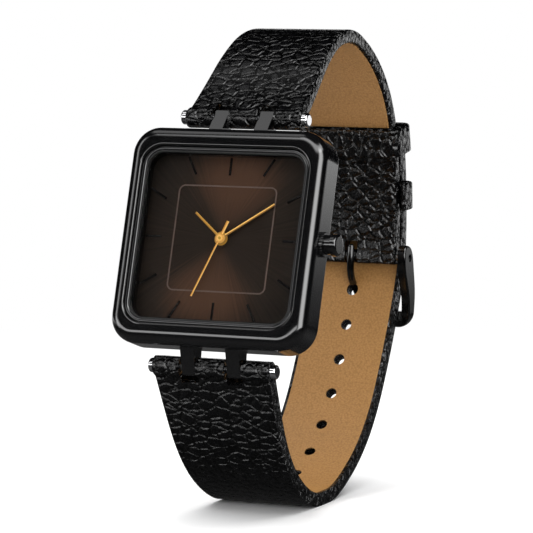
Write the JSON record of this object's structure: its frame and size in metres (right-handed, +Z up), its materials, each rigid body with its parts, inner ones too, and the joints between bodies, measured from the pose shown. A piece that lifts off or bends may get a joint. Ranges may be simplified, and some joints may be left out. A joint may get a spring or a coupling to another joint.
{
  "type": "square wristwatch",
  "caption": "Square black wristwatch with brown dial, gold hands, pull-out crown and a black leather strap lined in tan, standing buckled.",
  "frame": {"origin": "middle of the small flat under the strap loop, on the surface that it stands on", "axes": "+Z up, -Y the way the leaning dial faces, +X to 3 o'clock"},
  "size_m": [0.0362, 0.0621, 0.0756],
  "materials": {
    "black_plating": "high-gloss black plating",
    "bright_ring": "polished dark ring",
    "crystal_glass": "clear flat crystal",
    "seal_rubber": "black sealing rubber",
    "dial_brown": "dark brown satin dial",
    "dial_print": "thin printed line",
    "marker_black": "raised black markers",
    "hand_gold": "polished gold-coloured hands",
    "movement_brass": "plain brass",
    "movement_steel": "plain steel",
    "movement_nylon": "pale moulded plastic",
    "board_green": "green circuit board",
    "coil_copper": "enamelled copper wire",
    "bar_steel": "steel bar",
    "cap_steel": "polished bright steel",
    "strap_leather": "black pebbled leather",
    "lining_leather": "smooth tan leather"
  },
  "bodies": {
    "head": {"case_body": "black_plating", "bezel_ring": "bright_ring", "crystal": "crystal_glass", "crystal_gasket": "seal_rubber", "dial": "dial_brown", "dial_line": "dial_print", "hour_markers": "marker_black", "main_plate": "movement_brass", "train_bridge": "movement_steel", "bridge_screws": "movement_steel", "movement_holder": "movement_nylon", "battery": "bar_steel", "battery_clamp": "movement_steel", "stator": "movement_steel", "coil_core": "movement_steel", "coil_winding": "coil_copper", "circuit_board": "board_green", "quartz_can": "bar_steel", "case_back": "bar_steel", "back_gasket": "seal_rubber", "back_screws": "movement_steel", "crown_tube": "bar_steel", "upper_bar": "bar_steel", "lower_bar": "bar_steel", "bar_caps": "cap_steel"},
    "setting_slide": {"setting_lever": "movement_steel"},
    "crown_set": {"crown": "black_plating", "stem": "bar_steel", "crown_gasket": "seal_rubber", "sliding_pinion": "movement_steel"},
    "seconds": {"second_wheel": "movement_brass", "second_hand": "hand_gold"},
    "third": {"third_wheel": "movement_brass"},
    "minutes": {"center_wheel": "movement_brass", "minute_hand": "hand_gold"},
    "motion": {"minute_wheel": "movement_brass"},
    "hours": {"hour_wheel": "movement_brass", "hour_hand": "hand_gold"},
    "fifth": {"fifth_wheel": "movement_nylon"},
    "motor_rotor": {"rotor": "movement_steel"},
    "short_strap": {"short_strap_leather": "strap_leather", "short_strap_lining": "lining_leather", "fixed_keeper": "strap_leather", "buckle_pin": "bar_steel"},
    "keeper": {"free_keeper": "strap_leather"},
    "buckle": {"buckle_frame": "black_plating"},
    "tongue": {"buckle_tongue": "black_plating"},
    "long_strap": {"long_strap_leather": "strap_leather", "long_strap_lining": "lining_leather"}
  },
  "joints": [
    {"name": "crown_pull", "type": "slide", "parent": "head", "child": "setting_slide", "axis": [1, 0, 0], "range_m": [0, 0.001]},
    {"name": "crown_turn", "type": "hinge", "parent": "setting_slide", "child": "crown_set", "pos_m": [0.017, -0.01886, 0.04358], "axis": [1, 0, 0], "continuous": true},
    {"name": "second_spin", "type": "hinge", "parent": "head", "child": "seconds", "pos_m": [0, -0.02001, 0.04393], "axis": [0, 0.9578, -0.2874], "continuous": true},
    {"name": "third_spin", "type": "hinge", "parent": "head", "child": "third", "pos_m": [-0.00288, -0.02031, 0.04293], "axis": [0, 0.9578, -0.2874], "continuous": true},
    {"name": "minute_spin", "type": "hinge", "parent": "head", "child": "minutes", "pos_m": [0, -0.02001, 0.04393], "axis": [0, 0.9578, -0.2874], "continuous": true},
    {"name": "motion_spin", "type": "hinge", "parent": "head", "child": "motion", "pos_m": [0.0026, -0.02044, 0.04249], "axis": [0, 0.9578, -0.2874], "continuous": true},
    {"name": "hour_spin", "type": "hinge", "parent": "head", "child": "hours", "pos_m": [0, -0.02001, 0.04393], "axis": [0, 0.9578, -0.2874], "continuous": true},
    {"name": "fifth_spin", "type": "hinge", "parent": "head", "child": "fifth", "pos_m": [0.0015, -0.01926, 0.04642], "axis": [0, 0.9578, -0.2874], "continuous": true},
    {"name": "rotor_spin", "type": "hinge", "parent": "head", "child": "motor_rotor", "pos_m": [0.00183, -0.01873, 0.0482], "axis": [0, 0.9578, -0.2874], "continuous": true},
    {"name": "short_strap_swing", "type": "hinge", "parent": "head", "child": "short_strap", "pos_m": [0, -0.0115, 0.0621], "axis": [1, 0, 0], "range_deg": [0, 60], "deforming": ["short_strap_leather", "short_strap_lining"]},
    {"name": "long_strap_swing", "type": "hinge", "parent": "head", "child": "long_strap", "pos_m": [0, -0.0229, 0.02407], "axis": [1, 0, 0], "range_deg": [-60, 0], "deforming": ["long_strap_leather", "long_strap_lining"]},
    {"name": "keeper_slide", "type": "slide", "parent": "short_strap", "child": "keeper", "axis": [0, 0.1513, -0.9885], "range_m": [0, 0.004]},
    {"name": "buckle_swing", "type": "hinge", "parent": "short_strap", "child": "buckle", "pos_m": [0, 0.0298, 0.03713], "axis": [1, 0, 0], "range_deg": [0, 30]},
    {"name": "tongue_swing", "type": "hinge", "parent": "short_strap", "child": "tongue", "pos_m": [0, 0.0298, 0.03713], "axis": [1, 0, 0], "range_deg": [0, 60]}
  ],
  "couplings": [
    {"joint": "third_spin", "follows": "second_spin", "ratio": -0.13333},
    {"joint": "minute_spin", "follows": "second_spin", "ratio": 0.016667},
    {"joint": "motion_spin", "follows": "second_spin", "ratio": -0.0055556},
    {"joint": "hour_spin", "follows": "second_spin", "ratio": 0.0013889},
    {"joint": "fifth_spin", "follows": "second_spin", "ratio": -5},
    {"joint": "rotor_spin", "follows": "second_spin", "ratio": 30},
    {"joint": "long_strap_swing", "follows": "short_strap_swing", "ratio": -1},
    {"joint": "buckle_swing", "follows": "short_strap_swing", "ratio": 0.5},
    {"joint": "tongue_swing", "follows": "short_strap_swing", "ratio": 1}
  ]
}
